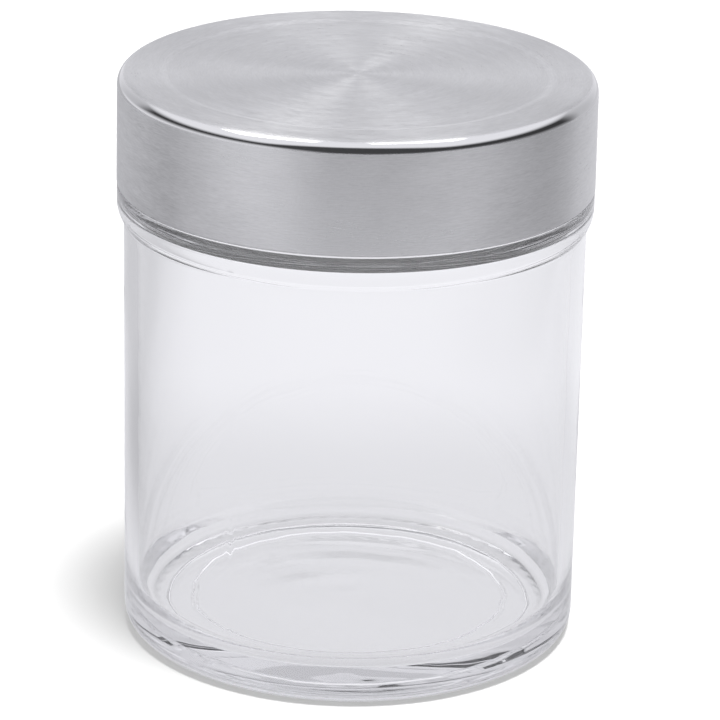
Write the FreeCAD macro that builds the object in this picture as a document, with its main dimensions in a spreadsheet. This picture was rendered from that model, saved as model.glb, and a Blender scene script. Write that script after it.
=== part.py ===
"""Glass disinfectant jar with a brushed steel screw lid, as a parametric model.

Millimetres. +Z is up, and the origin is the centre of the ring that the jar stands on.
The closure is a right-hand single-start thread: the lid rises by one pitch for each turn
counter-clockwise, seen from above.
"""
import FreeCAD
import Part
import math
import os
import Sketcher

SIZES = {
    # glass body
    "body_radius": 45.0,
    "body_wall": 2.8,
    "heel_radius": 3.4,
    "stand_ring_inside": 36.5,
    "punt_step": 0.8,
    "punt_height": 1.7,
    "floor_height": 6.0,
    "floor_crown": 0.6,
    "floor_corner": 5.5,
    # shoulder bead, which is flush with the lid
    "crease_height": 84.25,
    "crease_round": 1.3,
    "bead_reach": 1.35,
    "bead_curve_height": 3.5,
    "ledge_height": 91.4,
    "ledge_round": 0.25,
    # neck and mouth
    "neck_radius": 42.4,
    "neck_root_round": 0.5,
    "mouth_radius": 39.5,
    "mouth_slope_low": 87.2,
    "mouth_slope_high": 89.8,
    "mouth_slope_round": 1.0,
    "rim_height": 109.7,
    "rim_round": 1.2,
    # thread
    "thread_pitch": 5.08,
    "thread_depth": 1.2,
    "thread_width": 2.6,
    "thread_low": 99.4,
    "thread_turns": 1.5,
    "thread_root": 0.3,
    "insert_thread_turns": 1.25,
    "insert_thread_drop": 2.05,
    "insert_thread_width": 2.0,
    "insert_thread_tip": 0.9,
    # lid shell
    "lid_top": 113.3,
    "lid_low": 91.45,
    "lid_radius": 46.25,
    "lid_flare": 0.15,
    "lid_edge_round": 2.5,
    "steel": 0.45,
    "panel_radius": 37.4,
    "panel_drop": 0.4,
    "panel_slope": 2.0,
    "hem_reach": 1.0,
    # lid insert
    "insert_gap": 0.1,
    "insert_disc": 1.5,
    "insert_root_radius": 43.9,
    "insert_crest_radius": 42.8,
    "insert_edge_round": 2.4,
    "liner_catch_radius": 42.9,
    "liner_catch_height": 0.6,
    # liner
    "liner_radius": 43.5,
    "liner_thickness": 1.1,
    "face_gap": 0.05,
}

document = FreeCAD.newDocument("disinfectant_jar")


def make_sheet():
    """The spreadsheet of driving dimensions: names in column A, values with aliases in B."""
    sheet = document.addObject("Spreadsheet::Sheet", "Sizes")
    for row, (alias, value) in enumerate(SIZES.items(), start=1):
        sheet.set("A%d" % row, alias)
        sheet.set("B%d" % row, str(value))
        sheet.setAlias("B%d" % row, alias)
    document.recompute()
    return sheet


sheet = make_sheet()


def terms(expression):
    """An expression in bare aliases, written out with the sheet's name in front of each."""
    words = []
    for word in expression.split():
        words.append("Sizes." + word if word in SIZES else word)
    return " ".join(words)


def value_of(expression):
    """The number that an expression in bare aliases stands for."""
    return float(sheet.evalExpression(terms(expression)))


def new_body(label):
    """An empty body with its own label."""
    body = document.addObject("PartDesign::Body", label)
    body.Label = label
    return body


def half_plane(body):
    """The body's own XZ plane, in which half sections are drawn."""
    for feature in body.Origin.OriginFeatures:
        if feature.Role == "XZ_Plane":
            return feature
    raise RuntimeError("the body has no XZ plane")


def bulged_arc(first, last, radius):
    """The shorter arc between two points, curving to the right of the way between them."""
    chord = last - first
    across = FreeCAD.Vector(chord.y, -chord.x, 0).normalize()
    rise = radius - math.sqrt(radius ** 2 - (chord.Length / 2) ** 2)
    return Part.Arc(first, (first + last) * 0.5 + across * rise, last)


def half_section(body, name, corners):
    """A closed sketch in the XZ plane. Each corner is (radius, height) in sheet terms, and
    a third term is the radius of the arc that leads on from that corner."""
    sketch = body.newObject("Sketcher::SketchObject", name)
    sketch.AttachmentSupport = (half_plane(body), [""])
    sketch.MapMode = "FlatFace"
    points = [FreeCAD.Vector(value_of(c[0]), value_of(c[1]), 0) for c in corners]
    ends = []
    for i, corner in enumerate(corners):
        start = points[i]
        finish = points[(i + 1) % len(points)]
        if len(corner) == 2:
            sketch.addGeometry(Part.LineSegment(start, finish), False)
            ends.append((1, 2))
        else:
            arc = bulged_arc(start, finish, value_of(corner[2]))
            geometry = sketch.addGeometry(arc, False)
            forward = sketch.getPoint(geometry, 1).distanceToPoint(start) < 1e-6
            ends.append((1, 2) if forward else (2, 1))
    for i in range(len(corners)):
        after = (i + 1) % len(corners)
        sketch.addConstraint(
            Sketcher.Constraint("Coincident", i, ends[i][1], after, ends[after][0])
        )
    for i, corner in enumerate(corners):
        pin_corner(sketch, i, ends[i][0], points[i], corner)
        if len(corner) == 3:
            size = Sketcher.Constraint("Radius", i, value_of(corner[2]))
            bind(sketch, size, "arc%d" % i, corner[2])
    return sketch


def bind(sketch, constraint, name, expression):
    """Adds a dimension to the sketch under a name, and ties it to the sheet."""
    index = sketch.addConstraint(constraint)
    sketch.renameConstraint(index, name)
    sketch.setExpression("Constraints." + name, terms(expression))


def pin_corner(sketch, geometry, end, point, corner):
    """Holds one corner at its radius and height. A radius of 0 is on the axis."""
    if abs(point.x) < 1e-9:
        on_axis = Sketcher.Constraint("PointOnObject", geometry, end, -2)
        sketch.addConstraint(on_axis)
    else:
        across = Sketcher.Constraint("DistanceX", -1, 1, geometry, end, point.x)
        bind(sketch, across, "radius%d" % geometry, corner[0])
    if abs(point.y) < 1e-9:
        on_ground = Sketcher.Constraint("PointOnObject", geometry, end, -1)
        sketch.addConstraint(on_ground)
    else:
        upward = Sketcher.Constraint("DistanceY", -1, 1, geometry, end, point.y)
        bind(sketch, upward, "height%d" % geometry, corner[1])


def revolve(body, sketch):
    """Turns a half section once round the Z axis."""
    turned = body.newObject("PartDesign::Revolution", "Turned")
    turned.Profile = sketch
    turned.ReferenceAxis = (sketch, ["V_Axis"])
    turned.Angle = 360
    document.recompute()
    return turned


def round_rings(body, feature, name, size, rings):
    """Rounds the circular edges of a feature that have the given radius and height."""
    wanted = [(value_of(radius), value_of(height)) for radius, height in rings]
    names = []
    for number, edge in enumerate(feature.Shape.Edges, start=1):
        if not isinstance(edge.Curve, Part.Circle):
            continue
        place = (edge.Curve.Radius, edge.Curve.Center.z)
        if any(math.dist(place, ring) < 1e-4 for ring in wanted):
            names.append("Edge%d" % number)
    if len(names) != len(rings):
        raise RuntimeError("%s found %d of %d rings" % (name, len(names), len(rings)))
    fillet = body.newObject("PartDesign::Fillet", name)
    fillet.Base = (feature, names)
    fillet.setExpression("Radius", terms(size))
    document.recompute()
    return fillet


def wind(body, sketch, turns):
    """Winds a thread's section round the Z axis as a right-hand ridge."""
    before = body.Shape.Volume
    ridge = body.newObject("PartDesign::AdditiveHelix", "Thread")
    ridge.Profile = sketch
    ridge.ReferenceAxis = (sketch, ["V_Axis"])
    ridge.Mode = "pitch-turns-angle"
    ridge.setExpression("Pitch", terms("thread_pitch"))
    ridge.setExpression("Turns", terms(turns))
    ridge.LeftHanded = False
    document.recompute()
    if body.Shape.Volume < before + 1:
        raise RuntimeError("the thread of %s added nothing" % body.Label)
    return ridge


def make_glass_jar():
    """The pressed and blown glass body: base, straight wall, shoulder bead and threaded neck."""
    body = new_body("glass_jar")
    bead = "body_radius + bead_reach"
    curve_top = "crease_height + bead_curve_height"
    bead_arc = (
        "( bead_reach * bead_reach + bead_curve_height * bead_curve_height ) / ( 2 * bead_reach )"
    )
    inside = "body_radius - body_wall"
    section = half_section(body, "GlassSection", [
        ("0", "punt_height"),
        ("stand_ring_inside", "punt_step"),
        ("stand_ring_inside", "0"),
        ("body_radius", "0"),
        ("body_radius", "crease_height", bead_arc),
        (bead, curve_top),
        (bead, "ledge_height"),
        ("neck_radius", "ledge_height"),
        ("neck_radius", "rim_height"),
        ("mouth_radius", "rim_height"),
        ("mouth_radius", "mouth_slope_high"),
        (inside, "mouth_slope_low"),
        (inside, "floor_height"),
        ("0", "floor_height - floor_crown"),
    ])
    turned = revolve(body, section)
    crease = round_rings(body, turned, "CreaseRound", "crease_round", [
        ("body_radius", "crease_height"),
    ])
    heel = round_rings(body, crease, "HeelRound", "heel_radius", [("body_radius", "0")])
    corner = round_rings(body, heel, "FloorCorner", "floor_corner", [(inside, "floor_height")])
    slope = round_rings(body, corner, "MouthSlope", "mouth_slope_round", [
        ("mouth_radius", "mouth_slope_high"),
        (inside, "mouth_slope_low"),
    ])
    ledge = round_rings(body, slope, "LedgeRound", "ledge_round", [(bead, "ledge_height")])
    root = round_rings(body, ledge, "NeckRoot", "neck_root_round", [
        ("neck_radius", "ledge_height"),
    ])
    round_rings(body, root, "RimRound", "rim_round", [
        ("neck_radius", "rim_height"),
        ("mouth_radius", "rim_height"),
    ])
    low = "thread_low - thread_width / 2"
    high = "thread_low + thread_width / 2"
    arc = "( thread_width * thread_width / 4 + thread_depth * thread_depth ) / ( 2 * thread_depth )"
    ridge = half_section(body, "GlassThread", [
        ("neck_radius - thread_root", low),
        ("neck_radius", low, arc),
        ("neck_radius", high),
        ("neck_radius - thread_root", high),
    ])
    wind(body, ridge, "thread_turns")
    return body


def make_lid_shell():
    """The drawn steel cap: sunk top panel, rolled upper edge, skirt and a hem turned in."""
    body = new_body("lid_shell")
    low_radius = "lid_radius + lid_flare"
    section = half_section(body, "ShellSection", [
        ("0", "lid_top - panel_drop"),
        ("0", "lid_top - panel_drop - steel"),
        ("panel_radius - panel_slope / 2", "lid_top - panel_drop - steel"),
        ("panel_radius + panel_slope / 2", "lid_top - steel"),
        ("lid_radius - steel", "lid_top - steel"),
        (low_radius + " - steel", "lid_low + steel"),
        (low_radius + " - hem_reach", "lid_low + steel"),
        (low_radius + " - hem_reach", "lid_low"),
        (low_radius, "lid_low"),
        ("lid_radius", "lid_top"),
        ("panel_radius + panel_slope / 2", "lid_top"),
        ("panel_radius - panel_slope / 2", "lid_top - panel_drop"),
    ])
    turned = revolve(body, section)
    outer = round_rings(body, turned, "OuterRound", "lid_edge_round", [
        ("lid_radius", "lid_top"),
    ])
    inner = round_rings(body, outer, "InnerRound", "lid_edge_round - steel", [
        ("lid_radius - steel", "lid_top - steel"),
    ])
    round_rings(body, inner, "HemRound", "steel * 0.8", [(low_radius, "lid_low")])
    return body


def make_lid_insert():
    """The moulded plastic insert: disc, skirt, a catch that holds the liner, and an inner thread."""
    body = new_body("lid_insert")
    top = "lid_top - panel_drop - steel - face_gap"
    under = top + " - insert_disc"
    catch_top = under + " - liner_thickness - face_gap * 2"
    catch_low = catch_top + " - liner_catch_height"
    outside = "lid_radius - steel - insert_gap"
    foot = "lid_low + steel + face_gap"
    section = half_section(body, "InsertSection", [
        ("0", top),
        ("0", under),
        ("insert_root_radius", under),
        ("insert_root_radius", catch_top),
        ("liner_catch_radius", catch_top + " - liner_catch_height / 3"),
        ("liner_catch_radius", catch_low + " + liner_catch_height / 3"),
        ("insert_root_radius", catch_low + " - liner_catch_height / 3"),
        ("insert_root_radius", foot),
        (outside, foot),
        (outside, top),
    ])
    turned = revolve(body, section)
    round_rings(body, turned, "TopRound", "insert_edge_round", [(outside, top)])
    middle = "thread_low - insert_thread_drop"
    ridge = half_section(body, "InsertThread", [
        ("insert_root_radius + thread_root", middle + " - insert_thread_width / 2"),
        ("insert_root_radius + thread_root", middle + " + insert_thread_width / 2"),
        ("insert_root_radius", middle + " + insert_thread_width / 2"),
        ("insert_crest_radius", middle + " + insert_thread_tip / 2"),
        ("insert_crest_radius", middle + " - insert_thread_tip / 2"),
        ("insert_root_radius", middle + " - insert_thread_width / 2"),
    ])
    wind(body, ridge, "insert_thread_turns")
    return body


def make_lid_liner():
    """The sealing disc between the glass rim and the insert."""
    body = new_body("lid_liner")
    low = "rim_height + face_gap"
    section = half_section(body, "LinerSection", [
        ("0", low),
        ("liner_radius", low),
        ("liner_radius", low + " + liner_thickness"),
        ("0", low + " + liner_thickness"),
    ])
    turned = revolve(body, section)
    round_rings(body, turned, "EdgeRound", "liner_thickness / 4", [
        ("liner_radius", low),
        ("liner_radius", low + " + liner_thickness"),
    ])
    return body


def check(nodes):
    """Stops unless every object is computed and every sub-part is a valid closed solid."""
    for thing in document.Objects:
        faults = [state for state in thing.State if state in ("Invalid", "Error")]
        if faults:
            raise RuntimeError("%s is %s" % (thing.Name, faults))
    for node in nodes:
        shape = node.Shape
        if shape.isNull() or not shape.isValid() or len(shape.Solids) != 1:
            raise RuntimeError("%s has no valid single solid" % node.Label)


def main():
    nodes = [make_glass_jar(), make_lid_shell(), make_lid_insert(), make_lid_liner()]
    for node in nodes:
        node.Placement = FreeCAD.Placement()
    document.recompute()
    check(nodes)
    os.makedirs("parts", exist_ok=True)
    for node in nodes:
        node.Shape.exportStep("parts/%s.step" % node.Label)
        box = node.Shape.BoundBox
        print("%s: %.0f mm3, z %.2f to %.2f" % (node.Label, node.Shape.Volume, box.ZMin, box.ZMax))


main()
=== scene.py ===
"""The looks of the glass disinfectant jar and its brushed steel screw lid.

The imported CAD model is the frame. Sizes here are millimetres until a mesh is made, which turns
them into metres. Every turned piece is a lathe of its own half section, finer than the CAD node
that it replaces, with the small unevenness that pressed glass and brushed steel have.
"""

import math

import bmesh
import bpy
import numpy as np
from mathutils import Matrix, Vector


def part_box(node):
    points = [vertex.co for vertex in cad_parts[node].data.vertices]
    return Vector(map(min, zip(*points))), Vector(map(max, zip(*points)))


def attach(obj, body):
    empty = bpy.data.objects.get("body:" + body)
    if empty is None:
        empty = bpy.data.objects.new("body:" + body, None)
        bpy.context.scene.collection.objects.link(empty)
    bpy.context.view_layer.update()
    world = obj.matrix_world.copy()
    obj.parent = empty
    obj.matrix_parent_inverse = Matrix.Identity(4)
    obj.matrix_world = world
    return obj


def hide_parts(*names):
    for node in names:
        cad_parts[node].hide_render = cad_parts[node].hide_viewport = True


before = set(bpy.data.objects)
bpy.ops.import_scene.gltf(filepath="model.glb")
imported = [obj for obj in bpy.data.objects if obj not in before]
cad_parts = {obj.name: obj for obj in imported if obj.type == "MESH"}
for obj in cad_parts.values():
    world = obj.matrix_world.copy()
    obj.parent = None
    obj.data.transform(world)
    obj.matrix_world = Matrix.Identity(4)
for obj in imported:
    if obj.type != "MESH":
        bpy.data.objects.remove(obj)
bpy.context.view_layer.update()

MM = 0.001
TURN = 2 * math.pi


def box_mm(node):
    """A CAD node's box as (largest radius, lowest height, greatest height), in millimetres."""
    low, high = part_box(node)
    return max(high.x, -low.x) / MM, low.z / MM, high.z / MM


# ---------------------------------------------------------------- sizes, in millimetres
BEAD_RADIUS, _, RIM_HEIGHT = box_mm("glass_jar")
LID_RADIUS, LID_LOW, LID_TOP = box_mm("lid_shell")

BEAD_REACH = 1.35
WALL = 2.8
BODY_RADIUS = BEAD_RADIUS - BEAD_REACH
INNER_RADIUS = BODY_RADIUS - WALL
STAND_RING = 36.5
STAND_WIDTH = 0.3
HEEL_ROUND = 3.4
PUNT_STEP = 0.8
PUNT_ROUND = 1.0
PUNT_HEIGHT = 1.7
FLOOR_HEIGHT = 6.0
FLOOR_CROWN = 0.6
FLOOR_CORNER = 5.5
CREASE_HEIGHT = 84.25
CREASE_ROUND = 1.3
BEAD_CURVE = 3.5
LEDGE_HEIGHT = 91.4
LEDGE_ROUND = 0.25
NECK_RADIUS = 42.4
NECK_ROOT = 0.5
MOUTH_RADIUS = 39.5
SHOULDER = (87.2, 89.8)
SHOULDER_ROUND = 1.0
RIM_ROUND = 1.2

THREAD_PITCH = 5.08
THREAD_DEPTH = 1.2
THREAD_WIDTH = 2.6
THREAD_LOW = 99.4
THREAD_TURNS = 1.5
THREAD_FADE = 0.08

STEEL = 0.45
LID_FLARE = 0.15
LID_EDGE = 2.5
PANEL_RADIUS = 37.4
PANEL_DROP = 0.4
PANEL_SLOPE = 2.0
PANEL_ROUND = 1.5
HEM_REACH = 1.0
HEM_FOLD = 0.36
SHEET_ROUND = 0.1

# what the mould leaves on the glass
PARTING_HEIGHT = 6.0
PARTING_RIDGE = 0.13
PARTING_WIDTH = 0.8
SEAM_ANGLE = math.radians(-120.6)
SEAM_RIDGE = 0.012
SEAM_WIDTH = 1.8
CRESCENTS = 56
CRESCENT_RING = (38.2, 41.0)
CRESCENT_DEPTH = 0.045
CRESCENT_BEND = 2.6
BAFFLE_RADIUS = 31.2
BAFFLE_DEPTH = 0.24
BAFFLE_WIDTH = 1.5
FLOOR_SWELL = 0.07

# six steps round the axis to each crescent draw it smoothly
GLASS_SEGMENTS = CRESCENTS * 6
STEEL_SEGMENTS = 384
GLASS_STEP = 2.4
STEEL_STEP = 2.0


# ---------------------------------------------------------------- half sections
def rounded(corners, step, arc_step=12):
    """A half section as a smooth line of (radius, height) points. Each corner is (radius,
    height, rounding); arcs get a point every arc_step degrees and straight runs one a step."""
    points = [np.array(c[:2], float) for c in corners]
    line = []
    for i, corner in enumerate(corners):
        here = points[i]
        if i in (0, len(corners) - 1) or len(corner) < 3:
            line.append([here])
            continue
        back = points[i - 1] - here
        ahead = points[i + 1] - here
        back /= np.linalg.norm(back)
        ahead /= np.linalg.norm(ahead)
        half = math.acos(float(np.clip(back @ ahead, -1, 1))) / 2
        reach = corner[2] / math.tan(half)
        centre = here + (back + ahead) / np.linalg.norm(back + ahead) * corner[2] / math.sin(half)
        first = here + back * reach - centre
        last = here + ahead * reach - centre
        sweep = math.pi - 2 * half
        count = max(3, int(math.degrees(sweep) / arc_step) + 1)
        turns = np.linspace(0, 1, count)
        weight = np.sin(sweep * (1 - turns)) / math.sin(sweep), np.sin(sweep * turns) / math.sin(sweep)
        line.append([centre + a * first + b * last for a, b in zip(*weight)])
    out = []
    for k, stretch in enumerate(line):
        if k:
            out += between(out[-1], stretch[0], step)
        out += stretch
    return np.array(out)


def between(first, last, step):
    """Evenly spaced points between two, no further apart than a step, ends left out."""
    pieces = max(1, int(math.ceil(np.linalg.norm(last - first) / step)))
    return [first + (last - first) * n / pieces for n in range(1, pieces)]


def refine(section, zones):
    """Adds points to a section's runs that lie in a zone: (radii, heights, step)."""
    out = [section[0]]
    for first, last in zip(section[:-1], section[1:]):
        middle = (first + last) / 2
        for radii, heights, step in zones:
            if radii[0] < middle[0] < radii[1] and heights[0] < middle[1] < heights[1]:
                out += between(first, last, step)
                break
        out.append(last)
    return np.array(out)


def lathe(name, section, segments, shape=None, extra=()):
    """Turns a half section that starts and ends on the axis about Z into a mesh object.
    shape(radius, height, angle) may move the points; extra angles are added to the even ones."""
    angle = np.sort(np.concatenate([np.arange(segments) / segments * TURN, np.asarray(extra) % TURN]))
    radius = np.repeat(section[:, 0][:, None], len(angle), axis=1)
    height = np.repeat(section[:, 1][:, None], len(angle), axis=1)
    spread = np.repeat(angle[None, :], len(section), axis=0)
    if shape is not None:
        radius, height = shape(radius, height, spread)
    points = np.stack([radius * np.cos(spread), radius * np.sin(spread), height], axis=-1) * MM
    index = np.arange(points[..., 0].size).reshape(len(section), len(angle))
    faces = []
    for row in range(len(section) - 1):
        low, high = index[row], index[row + 1]
        low_next, high_next = np.roll(low, -1), np.roll(high, -1)
        if row == 0:
            faces += [(int(low[0]), int(b), int(a)) for a, b in zip(high, high_next)]
        elif row == len(section) - 2:
            faces += [(int(a), int(b), int(high[0])) for a, b in zip(low, low_next)]
        else:
            faces += np.stack([low, low_next, high_next, high], axis=-1).tolist()
    mesh = bpy.data.meshes.new(name)
    mesh.from_pydata(points.reshape(-1, 3).tolist(), [], faces)
    tidy_mesh(mesh)
    piece = bpy.data.objects.new(name, mesh)
    bpy.context.scene.collection.objects.link(piece)
    return piece


def tidy_mesh(mesh):
    """Removes the spare points that lie on the axis, and turns every face outward."""
    work = bmesh.new()
    work.from_mesh(mesh)
    bmesh.ops.delete(work, geom=[v for v in work.verts if not v.link_faces], context="VERTS")
    bmesh.ops.recalc_face_normals(work, faces=work.faces)
    work.to_mesh(mesh)
    work.free()
    mesh.shade_smooth()


def hump(value, centre, width):
    """A smooth hump of height 1 at centre that reaches 0 at half a width each side."""
    near = np.clip(1 - np.abs(value - centre) / (width / 2), 0, 1)
    return near * near * (3 - 2 * near)


def wander(angle, terms):
    """A smooth closed wobble round the axis, from (waves, size, phase) terms."""
    return sum(size * np.sin(waves * angle + phase) for waves, size, phase in terms)


# ---------------------------------------------------------------- glass
def bead_points():
    """The bead's lower curve: a hollow fillet off the wall, then an arc out to the bead."""
    arc_radius = (BEAD_REACH ** 2 + BEAD_CURVE ** 2) / (2 * BEAD_REACH)
    arc_centre = np.array([BEAD_RADIUS - arc_radius, CREASE_HEIGHT + BEAD_CURVE])
    hollow_radius = BODY_RADIUS + CREASE_ROUND
    drop = math.sqrt((arc_radius + CREASE_ROUND) ** 2 - (hollow_radius - arc_centre[0]) ** 2)
    hollow_centre = np.array([hollow_radius, arc_centre[1] - drop])
    meeting = math.atan2(*(hollow_centre - arc_centre)[::-1])
    hollow = [
        hollow_centre + CREASE_ROUND * np.array([math.cos(t), math.sin(t)])
        for t in np.linspace(math.pi, meeting + math.pi, 6)
    ]
    arc = [
        arc_centre + arc_radius * np.array([math.cos(t), math.sin(t)]) for t in np.linspace(meeting, 0, 8)
    ]
    return [tuple(point) for point in hollow + arc[1:]]


def glass_section():
    """The glass body's half section, from the underside's centre round to the floor's."""
    corners = [
        (0, PUNT_HEIGHT),
        (STAND_RING, PUNT_STEP, PUNT_ROUND),
        (STAND_RING + STAND_WIDTH, 0, STAND_WIDTH),
        (BODY_RADIUS, 0, HEEL_ROUND),
        *bead_points(),
        (BEAD_RADIUS, LEDGE_HEIGHT, LEDGE_ROUND),
        (NECK_RADIUS, LEDGE_HEIGHT, NECK_ROOT),
        (NECK_RADIUS, RIM_HEIGHT, RIM_ROUND),
        (MOUTH_RADIUS, RIM_HEIGHT, RIM_ROUND),
        (MOUTH_RADIUS, SHOULDER[1], SHOULDER_ROUND),
        (INNER_RADIUS, SHOULDER[0], SHOULDER_ROUND),
        (INNER_RADIUS, FLOOR_HEIGHT, FLOOR_CORNER),
        (0, FLOOR_HEIGHT - FLOOR_CROWN),
    ]
    thread_top = THREAD_LOW + THREAD_PITCH * THREAD_TURNS + THREAD_WIDTH
    zones = [
        ((BAFFLE_RADIUS - BAFFLE_WIDTH, BAFFLE_RADIUS + BAFFLE_WIDTH), (-1, PUNT_HEIGHT), 0.3),
        ((CRESCENT_RING[0] - 0.5, CRESCENT_RING[1] + 0.3), (-1, 0.5), 0.3),
        ((BODY_RADIUS - 0.1, BODY_RADIUS + 0.1), (PARTING_HEIGHT - 0.9, PARTING_HEIGHT + 0.9), 0.15),
        ((NECK_RADIUS - 0.1, NECK_RADIUS + 0.1), (THREAD_LOW - THREAD_WIDTH, thread_top), 0.33),
    ]
    return refine(rounded(corners, GLASS_STEP), zones)


def glass_shape(radius, height, angle):
    """What the mould and the pressing leave on the plain turned shape."""
    across = radius * np.cos(angle)
    along = radius * np.sin(angle)
    outside = (radius > BODY_RADIUS - HEEL_ROUND) & (height < LEDGE_HEIGHT - 0.3)
    underside = (height < PUNT_HEIGHT + 0.1) & (radius < BODY_RADIUS - HEEL_ROUND + 0.1)
    neck = (np.abs(radius - NECK_RADIUS) < 0.05) & (height > LEDGE_HEIGHT + 1)
    inside = ~outside & ~underside & (radius < INNER_RADIUS + 0.1) & (height < SHOULDER[0])
    moved = radius.copy()
    lifted = height.copy()

    for lap in range(int(THREAD_TURNS) + 1):
        travel = angle / TURN + lap
        centre = THREAD_LOW + THREAD_PITCH * travel
        start, end = np.clip([travel / THREAD_FADE, (THREAD_TURNS - travel) / THREAD_FADE], 0, 1)
        off = np.clip(np.abs(height - centre) / (THREAD_WIDTH / 2), 0, 1)
        moved += np.where(neck, THREAD_DEPTH * np.sqrt(1 - off ** 2) * np.sqrt(start * end), 0)

    parting = PARTING_HEIGHT + wander(angle, ((2, 0.05, 0.4), (5, 0.04, 2.0)))
    moved += np.where(outside, PARTING_RIDGE * hump(height, parting, PARTING_WIDTH), 0)
    for seam in (SEAM_ANGLE, SEAM_ANGLE + math.pi):
        off = np.abs((angle - seam + math.pi) % TURN - math.pi) * radius
        ridge = SEAM_RIDGE * hump(off, 0, SEAM_WIDTH)
        moved += np.where(outside & (height > PARTING_HEIGHT), ridge, 0)

    low, high = CRESCENT_RING
    inward = np.clip((radius - low) / (high - low), 0, 1)
    phase = CRESCENTS * angle + CRESCENT_BEND * (2 * inward - 1) ** 2
    scallop = 0.5 + 0.5 * np.sin(phase)
    recess = CRESCENT_DEPTH * scallop * hump(radius, (low + high) / 2, (high - low) * 1.15)
    lifted += np.where(underside & (radius > STAND_RING + 0.6), recess, 0)

    mark = BAFFLE_RADIUS + wander(angle, ((3, 0.25, 0.3), (7, 0.16, 1.9), (17, 0.12, 0.7), (31, 0.09, 2.2)))
    lifted += np.where(underside, BAFFLE_DEPTH * hump(radius, mark, BAFFLE_WIDTH), 0)

    slow = wander(angle, ((2, 0.05, 0.9), (3, 0.04, 2.4), (7, 0.02, 1.1)))
    ripple = 0.02 * np.sin(11 * angle + height / 9) + 0.015 * np.sin(17 * angle - height / 6)
    moved += np.where(inside & (height > FLOOR_HEIGHT + 1), slow + ripple, 0)
    corner = hump(radius, INNER_RADIUS - 3, 12) * hump(height, FLOOR_HEIGHT + 2, 12)
    uneven = wander(angle, ((3, 0.10, 0.2), (5, 0.06, 2.9), (11, 0.025, 1.0), (19, 0.01, 0.1)))
    lifted += np.where(inside, uneven * corner, 0)
    moved += np.where(inside, 0.5 * np.roll(uneven, 40, axis=1) * corner, 0)
    swell = np.sin(across / 7.1 + 0.4) * np.cos(along / 6.3) + 0.7 * np.sin(along / 4.2 + across / 9.7)
    lifted += np.where(inside & (height < FLOOR_HEIGHT + 1), FLOOR_SWELL * swell, 0)
    return moved, lifted


def make_glass():
    """The glass body as one closed piece."""
    steps = np.array([-0.9, -0.6, -0.3, 0.0, 0.3, 0.6, 0.9]) / BODY_RADIUS
    seams = np.concatenate([SEAM_ANGLE + steps, SEAM_ANGLE + math.pi + steps])
    piece = lathe("jar_glass", glass_section(), GLASS_SEGMENTS, glass_shape, seams)
    piece.data.materials.append(glass_material())
    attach(piece, "jar")
    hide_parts("glass_jar")


# ---------------------------------------------------------------- node helpers
class Nodes:
    """A material's or world's node tree, with short calls for the nodes used here."""

    def __init__(self, tree):
        self.add = tree.nodes.new
        self.link = tree.links.new

    def put(self, socket, value):
        """Links a socket to another one, or sets it to a constant."""
        if isinstance(value, bpy.types.NodeSocket):
            self.link(value, socket)
        else:
            socket.default_value = value

    def math(self, operation, *values):
        node = self.add("ShaderNodeMath")
        node.operation = operation
        for socket, value in zip(node.inputs, values):
            self.put(socket, value)
        return node.outputs["Value"]

    def times(self, first, second):
        """Multiplies two numbers."""
        return self.math("MULTIPLY", first, second)

    def off_axis(self, x, y):
        """The distance from the jar's axis."""
        return self.math("SQRT", self.math("ADD", self.times(x, x), self.times(y, y)))

    def span(self, value, low, high, to_low=0.0, to_high=1.0, kind="SMOOTHSTEP"):
        """Maps a value from one range to another, clamped."""
        node = self.add("ShaderNodeMapRange")
        node.interpolation_type = kind
        for name, number in (("Value", value), ("From Min", low), ("From Max", high)):
            self.put(node.inputs[name], number)
        node.inputs["To Min"].default_value = to_low
        node.inputs["To Max"].default_value = to_high
        return node.outputs["Result"]

    def noise(self, vector, scale, detail=2.0, roughness=0.5):
        node = self.add("ShaderNodeTexNoise")
        node.inputs["Scale"].default_value = scale
        node.inputs["Detail"].default_value = detail
        node.inputs["Roughness"].default_value = roughness
        self.link(vector, node.inputs["Vector"])
        return node.outputs["Fac"]

    def parts(self, vector):
        node = self.add("ShaderNodeSeparateXYZ")
        self.link(vector, node.inputs["Vector"])
        return node.outputs["X"], node.outputs["Y"], node.outputs["Z"]

    def whole(self, x, y, z):
        node = self.add("ShaderNodeCombineXYZ")
        for socket, value in zip(node.inputs, (x, y, z)):
            self.put(socket, value)
        return node.outputs["Vector"]

    def blend(self, factor, first, second):
        """Mixes two numbers."""
        node = self.add("ShaderNodeMix")
        self.put(node.inputs["Factor"], factor)
        self.put(node.inputs["A"], first)
        self.put(node.inputs["B"], second)
        return node.outputs["Result"]

    def grey(self, value, tint):
        """A colour from one number, times a tint."""
        node = self.add("ShaderNodeCombineColor")
        for socket, share in zip(node.inputs, tint):
            self.put(socket, self.times(value, share))
        return node.outputs["Color"]

    def relief(self, height, strength, distance):
        node = self.add("ShaderNodeBump")
        self.put(node.inputs["Strength"], strength)
        node.inputs["Distance"].default_value = distance
        self.link(height, node.inputs["Height"])
        return node.outputs["Normal"]

    def place(self):
        return self.add("ShaderNodeTexCoord").outputs["Object"]


def new_material(name):
    """A node material, its node calls and its Principled shader."""
    material = bpy.data.materials.new(name)
    material.use_nodes = True
    return material, Nodes(material.node_tree), material.node_tree.nodes["Principled BSDF"]


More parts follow.
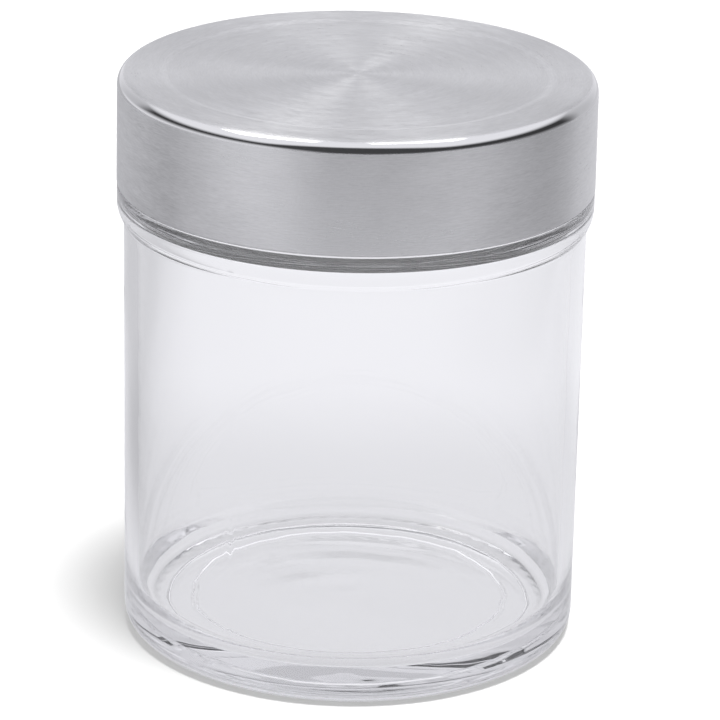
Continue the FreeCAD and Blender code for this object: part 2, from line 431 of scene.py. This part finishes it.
def glass_material():
    """Clear soda-lime glass with the faintest ripple and a little grey in its depth."""
    material, nodes, shader = new_material("clear_glass")
    shader.inputs["Base Color"].default_value = (1, 1, 1, 1)
    shader.inputs["Roughness"].default_value = 0.0
    shader.inputs["IOR"].default_value = 1.5
    shader.inputs["Transmission Weight"].default_value = 1.0
    depth = nodes.add("ShaderNodeVolumeAbsorption")
    depth.inputs["Color"].default_value = (0.5, 0.5, 0.52, 1)
    depth.inputs["Density"].default_value = 8.0
    output = material.node_tree.nodes["Material Output"]
    nodes.link(depth.outputs["Volume"], output.inputs["Volume"])
    ripple = nodes.noise(nodes.place(), 55, 2.0)
    nodes.put(shader.inputs["Normal"], nodes.relief(ripple, 0.05, 0.001))
    return material


# ---------------------------------------------------------------- steel lid
def shell_section():
    """The steel cap's half section: inside from the centre to the hem, then back outside."""
    low_radius = LID_RADIUS
    top_radius = LID_RADIUS - LID_FLARE
    outward = [
        (0, LID_TOP - PANEL_DROP),
        (PANEL_RADIUS - PANEL_SLOPE / 2, LID_TOP - PANEL_DROP, PANEL_ROUND),
        (PANEL_RADIUS + PANEL_SLOPE / 2, LID_TOP, PANEL_ROUND),
        (top_radius, LID_TOP, LID_EDGE),
        (low_radius, LID_LOW, HEM_FOLD),
        (low_radius - HEM_REACH, LID_LOW, SHEET_ROUND),
        (low_radius - HEM_REACH, LID_LOW + STEEL, SHEET_ROUND),
        (low_radius - STEEL, LID_LOW + STEEL, SHEET_ROUND),
        (top_radius - STEEL, LID_TOP - STEEL, LID_EDGE - STEEL),
        (PANEL_RADIUS + PANEL_SLOPE / 2, LID_TOP - STEEL, PANEL_ROUND),
        (PANEL_RADIUS - PANEL_SLOPE / 2, LID_TOP - PANEL_DROP - STEEL, PANEL_ROUND),
        (0, LID_TOP - PANEL_DROP - STEEL),
    ]
    return rounded(outward[::-1], STEEL_STEP, arc_step=5)


def make_shell():
    """The steel cap, finer than its CAD node so that its reflections run true."""
    piece = lathe("lid_cap", shell_section(), STEEL_SEGMENTS)
    piece.data.materials.append(steel_material())
    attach(piece, "lid")
    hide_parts("lid_shell")


EDGE_TONE = 0.62
EDGE_ROUGHNESS = 0.07


def steel_material():
    """Stainless steel brushed in circles. The drawing has polished its edge. The step of
    the sunk panel has a painted highlight, and the top is painted darker than the side."""
    material, nodes, shader = new_material("brushed_steel")
    shader.inputs["Metallic"].default_value = 1.0
    shader.inputs["Anisotropic"].default_value = 0.93
    shader.inputs["Anisotropic Rotation"].default_value = 0.25
    around = nodes.add("ShaderNodeTangent")
    around.direction_type = "RADIAL"
    around.axis = "Z"
    nodes.link(around.outputs["Tangent"], shader.inputs["Tangent"])

    x, y, z = nodes.parts(nodes.place())
    radius = nodes.off_axis(x, y)
    # grows outward over the top and on down the side
    down = nodes.math("SUBTRACT", radius, z)

    def brushing(along, across):
        """Streaks round the axis: so many to the metre along the brushing and across it."""
        vector = nodes.whole(nodes.times(x, along), nodes.times(y, along), nodes.times(down, across))
        return nodes.noise(vector, 1.0, 2.0, 0.6)

    fine = brushing(520, 4200)
    broad = brushing(110, 600)
    cloudy = nodes.noise(nodes.place(), 55, 2.0)

    # the rounded edge faces neither up, as the top does, nor level, as the side does
    upward = nodes.parts(nodes.add("ShaderNodeNewGeometry").outputs["Normal"])[2]
    off_side = nodes.span(upward, 0.04, 0.18)
    off_top = nodes.span(upward, 0.78, 0.90, 1.0, 0.0)
    polished = nodes.times(off_side, off_top)

    streak = nodes.math("ADD", nodes.times(fine, 0.6), nodes.times(broad, 0.4))
    tone = nodes.span(streak, 0.3, 0.7, 0.51, 0.71, "LINEAR")
    # painted shade and light: the top is painted darker and the side lighter, by which way the surface
    # faces
    tone = nodes.times(tone, nodes.span(upward, 0.5, 0.98, 1.07, 0.86))
    # painted highlight: a lighter tone in a ring at the step of the sunk panel
    off_step = nodes.math("ABSOLUTE", nodes.math("SUBTRACT", radius, PANEL_RADIUS * MM))
    tone = nodes.times(tone, nodes.span(off_step, 0.0002, 0.0011, 1.07, 1.0))
    tone = nodes.blend(polished, tone, EDGE_TONE)
    nodes.put(shader.inputs["Base Color"], nodes.grey(tone, (0.99, 0.99, 1.0)))
    patches = nodes.span(cloudy, 0.3, 0.7, -0.03, 0.03)
    dull = nodes.math("ADD", nodes.span(streak, 0.3, 0.7, 0.29, 0.41), patches)
    nodes.put(shader.inputs["Roughness"], nodes.blend(polished, dull, EDGE_ROUGHNESS))
    strength = nodes.blend(polished, 0.5, 0.02)
    nodes.put(shader.inputs["Normal"], nodes.relief(fine, strength, 0.00003))
    return material


# ---------------------------------------------------------------- plastic
def plastic_material(name, colour, roughness, grain):
    """Moulded plastic or foam with a fine grain."""
    material, nodes, shader = new_material(name)
    speckle = nodes.noise(nodes.place(), grain)
    shade = nodes.span(nodes.noise(nodes.place(), grain / 12), 0.3, 0.7, 0.97, 1.03)
    nodes.put(shader.inputs["Base Color"], nodes.grey(shade, colour))
    shader.inputs["Roughness"].default_value = roughness
    nodes.put(shader.inputs["Normal"], nodes.relief(speckle, 0.1, 0.0002))
    return material


def dress(node, material):
    """Gives a carried-over CAD node its material."""
    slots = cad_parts[node].data.materials
    slots.clear()
    slots.append(material)


# ---------------------------------------------------------------- studio
# metres from here on
FLOOR_DROP = 0.0001
SOFTBOX_DISTANCE = 1.2
SOFTBOX_HEIGHT = 0.5
AIM_HEIGHT = 0.1
PALE = (1.0, 1.0, 1.045)
LEAST_THROUGH_GLASS = 0.8


def towards(azimuth, elevation):
    """The unit direction at an azimuth right of the camera's side and an elevation."""
    a, e = math.radians(azimuth), math.radians(elevation)
    return Vector((math.sin(a) * math.cos(e), -math.cos(a) * math.cos(e), math.sin(e)))


def panel(name, corners, make_glow):
    """A stage mesh of one four-cornered face with an emission shader that make_glow fills."""
    mesh = bpy.data.meshes.new(name)
    mesh.from_pydata(corners, [], [(0, 1, 2, 3)])
    piece = bpy.data.objects.new(name, mesh)
    bpy.context.scene.collection.objects.link(piece)
    material = bpy.data.materials.new(name)
    material.use_nodes = True
    tree = material.node_tree
    tree.nodes.remove(tree.nodes["Principled BSDF"])
    glow = tree.nodes.new("ShaderNodeEmission")
    tree.links.new(glow.outputs["Emission"], tree.nodes["Material Output"].inputs["Surface"])
    make_glow(Nodes(tree), glow)
    mesh.materials.append(material)
    return piece


def softbox(name, azimuth, elevation, width, strength):
    """A glowing panel that faces the jar from above and shows only in glass and steel."""
    def even(nodes, glow):
        glow.inputs["Strength"].default_value = strength

    piece = panel(name, square(width / 2, -SOFTBOX_HEIGHT / 2, SOFTBOX_HEIGHT / 2, 0), even)
    way = towards(azimuth, elevation)
    piece.location = way * SOFTBOX_DISTANCE + Vector((0, 0, AIM_HEIGHT))
    piece.rotation_mode = "QUATERNION"
    piece.rotation_quaternion = way.to_track_quat("Z", "Y")
    for kind in ("visible_camera", "visible_diffuse", "visible_shadow"):
        setattr(piece, kind, False)


def square(reach_x, near, far, height):
    """The corners of a level rectangle."""
    sides = ((-reach_x, near), (reach_x, near), (reach_x, far), (-reach_x, far))
    return [(x, y, height) for x, y in sides]


def make_floor():
    """The pale floor that the camera sees: partly its own light, with a soft shadow."""
    mesh = bpy.data.meshes.new("floor")
    mesh.from_pydata(square(12, -12, 12, -FLOOR_DROP), [], [(0, 1, 2, 3)])
    floor = bpy.data.objects.new("floor", mesh)
    bpy.context.scene.collection.objects.link(floor)
    material, nodes, shader = new_material("floor_white")
    shader.inputs["Base Color"].default_value = (0.3, 0.3, 0.3, 1)
    shader.inputs["Roughness"].default_value = 1.0
    shader.inputs["Specular IOR Level"].default_value = 0.0
    shader.inputs["Emission Color"].default_value = (1, 1, 1, 1)
    shader.inputs["Emission Strength"].default_value = 0.41
    mesh.materials.append(material)
    floor.visible_glossy = False
    floor.visible_transmission = False


def make_table():
    """A glowing table top with painted light and shade, seen by the glass and steel: painted brighter
    towards the back.
    The steel also sees a painted brighter front, which doesn't show through the glass."""
    def shade(nodes, glow):
        x, y, z = nodes.parts(nodes.add("ShaderNodeNewGeometry").outputs["Position"])
        # painted light: the glow grows towards the back
        back = nodes.span(y, 0.07, 0.14, 0.775, 0.90)
        through_glass = nodes.add("ShaderNodeLightPath").outputs["Is Transmission Ray"]
        # painted light: a brighter front, seen by the steel only
        front = nodes.blend(through_glass, nodes.span(y, -0.30, -0.10, 1.55, 1.0), 1.0)
        behind = nodes.span(y, -0.08, 0.02)
        # painted shadow: the jar's shadow on the table, to the left behind it
        left = nodes.times(behind, nodes.span(x, -0.10, -0.052, 0.32, 0.0))
        # painted shade: the glow darker to the right behind the jar
        right = nodes.times(behind, nodes.span(x, 0.05, 0.30, 0.0, 0.16))
        sides = nodes.math("SUBTRACT", 1.0, nodes.math("ADD", left, right))
        level = nodes.times(nodes.times(back, front), sides)
        # painted shadow: the table darker under the jar's foot
        under = nodes.span(nodes.off_axis(x, y), 0.041, 0.047, 0.90, 1.0)
        nodes.put(glow.inputs["Strength"], nodes.times(level, under))
        glow.inputs["Color"].default_value = (*PALE, 1)

    table = panel("table", square(0.8, -0.55, 1.6, -FLOOR_DROP), shade)
    for kind in ("visible_camera", "visible_diffuse", "visible_shadow"):
        setattr(table, kind, False)


def make_room():
    """White light for rough surfaces. Reflections see a pale backdrop and a bright ceiling, a
    window low on the left, and a dark strip low in front that draws the line under the lid's edge.
    What shows through the glass never gets darker than a light grey."""
    world = bpy.data.worlds.new("studio")
    bpy.context.scene.world = world
    world.use_nodes = True
    nodes = Nodes(world.node_tree)
    white = world.node_tree.nodes["Background"]
    white.inputs["Color"].default_value = (1, 1, 1, 1)
    room = nodes.add("ShaderNodeBackground")
    x, y, z = nodes.parts(nodes.add("ShaderNodeTexCoord").outputs["Generated"])
    window_height = nodes.span(z, -0.06, 0.32, 1.0, 0.0)
    window = nodes.times(nodes.span(x, -0.75, -0.12, 0.85, 0.0), window_height)
    wall_height = nodes.span(z, -0.20, 0.20, 1.0, 0.0)
    wall = nodes.times(nodes.span(x, 0.30, 0.80, 0.32, 0.50), wall_height)
    walls = nodes.math("ADD", window, wall)
    fade = nodes.span(nodes.math("ABSOLUTE", x), 0.25, 0.75, 1.0, 0.74)
    paper = nodes.times(nodes.span(y, 0.36, 0.64, 0.08, 0.98), fade)
    overhead = nodes.times(nodes.span(z, 0.30, 0.60), nodes.span(y, -0.76, -0.56, 0.0, 1.22))
    backdrop = nodes.math("MAXIMUM", nodes.math("MAXIMUM", paper, overhead), walls)
    rays = nodes.add("ShaderNodeLightPath")
    through_glass = nodes.times(rays.outputs["Is Transmission Ray"], LEAST_THROUGH_GLASS)
    nodes.put(room.inputs["Color"], nodes.grey(nodes.math("MAXIMUM", backdrop, through_glass), PALE))
    seen = nodes.math("MAXIMUM", rays.outputs["Is Camera Ray"], rays.outputs["Is Diffuse Ray"])
    white.inputs["Strength"].default_value = 0.5
    mix = nodes.add("ShaderNodeMixShader")
    nodes.put(mix.inputs["Fac"], seen)
    nodes.link(room.outputs["Background"], mix.inputs[1])
    nodes.link(white.outputs["Background"], mix.inputs[2])
    nodes.link(mix.outputs["Shader"], world.node_tree.nodes["World Output"].inputs["Surface"])


def make_sun():
    """A high soft lamp in front and to the right, for the faint shadow at the jar's left foot."""
    lamp = bpy.data.lights.new("sun", "SUN")
    lamp.energy = 7.0
    lamp.angle = math.radians(14)
    sun = bpy.data.objects.new("sun", lamp)
    bpy.context.scene.collection.objects.link(sun)
    sun.rotation_mode = "QUATERNION"
    sun.rotation_quaternion = towards(38, 81).to_track_quat("Z", "Y")
    sun.visible_glossy = False
    sun.visible_transmission = False


def make_studio():
    make_floor()
    make_table()
    make_room()
    make_sun()
    softbox("softbox_left", azimuth=-100, elevation=69, width=0.36, strength=4.5)
    softbox("softbox_right", azimuth=92, elevation=75, width=0.20, strength=5)


# ---------------------------------------------------------------- camera
CAMERA_DISTANCE = 0.7028
CAMERA_HEIGHT = 0.3166
CAMERA_PITCH = 0.3574
CAMERA_YAW = 0.0021
CAMERA_ROLL = 0.0207
CAMERA_LENS = 190
GLASS_BOUNCES = 64


def make_camera():
    """A long lens a little above the lid, tilted a degree to the side."""
    data = bpy.data.cameras.new("camera")
    data.lens = CAMERA_LENS
    data.sensor_width = 36
    camera = bpy.data.objects.new("camera", data)
    bpy.context.scene.collection.objects.link(camera)
    turn = (
        Matrix.Rotation(-CAMERA_YAW, 3, "Z")
        @ Matrix.Rotation(math.pi / 2 - CAMERA_PITCH, 3, "X")
        @ Matrix.Rotation(CAMERA_ROLL, 3, "Z")
    )
    camera.location = (0, -CAMERA_DISTANCE, CAMERA_HEIGHT)
    camera.rotation_euler = turn.to_euler()
    bpy.context.scene.camera = camera


def set_render():
    """Plain colour response and enough bounces for light to pass through the glass."""
    scene = bpy.context.scene
    scene.view_settings.view_transform = "Standard"
    scene.view_settings.look = "None"
    scene.cycles.use_denoising = True
    scene.cycles.max_bounces = GLASS_BOUNCES
    scene.cycles.transmission_bounces = GLASS_BOUNCES
    scene.cycles.glossy_bounces = GLASS_BOUNCES
    scene.cycles.diffuse_bounces = 4


make_camera()
make_glass()
make_shell()
dress("lid_insert", plastic_material("white_plastic", (0.88, 0.88, 0.87), 0.35, 900))
dress("lid_liner", plastic_material("liner_foam", (0.88, 0.88, 0.88), 0.7, 2500))
make_studio()
set_render()
